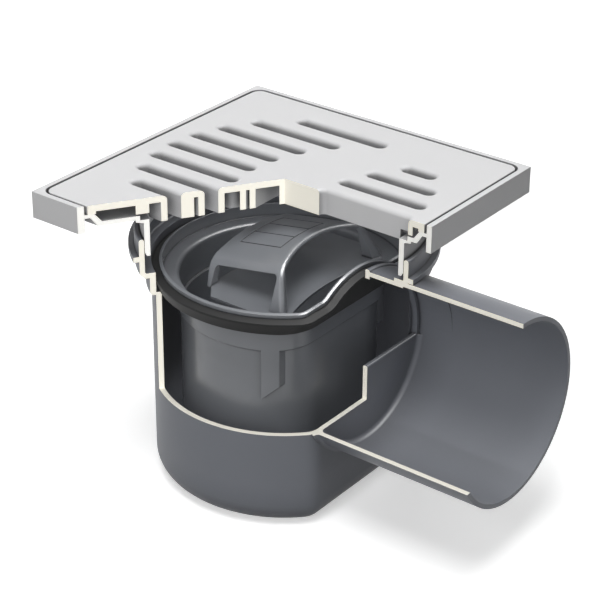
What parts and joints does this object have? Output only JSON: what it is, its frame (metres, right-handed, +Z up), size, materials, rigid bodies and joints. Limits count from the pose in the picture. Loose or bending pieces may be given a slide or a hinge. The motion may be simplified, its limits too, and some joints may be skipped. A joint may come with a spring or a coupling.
{
  "type": "floor drain",
  "caption": "Square floor drain opened in section: slotted grate, frame with spigot, pot with weir and horizontal outlet, and a lift-out odour trap.",
  "frame": {"origin": "centre of the drain's round axis at the flat underside of the pot", "axes": "+X along the outlet pipe, away from the pot; +Y towards the side that isn't opened; +Z up, towards the grate"},
  "size_m": [0.26, 0.2, 0.183],
  "materials": {
    "grey_body": "satin dark grey moulded plastic, cut faces cream",
    "light_grey": "fine matt light grey moulded plastic, cut faces cream",
    "grey_trap": "satin dark grey moulded plastic",
    "black_seal": "matt black elastomer"
  },
  "bodies": {
    "drain_body": {"body": "grey_body", "trap_insert": "grey_trap", "trap_seal": "black_seal"},
    "top_section": {"frame": "light_grey", "grate": "light_grey"}
  },
  "joints": [
    {"name": "frame_height", "type": "slide", "parent": "drain_body", "child": "top_section", "axis": [0, 0, 1], "range_m": [-0.002, 0.006]}
  ]
}
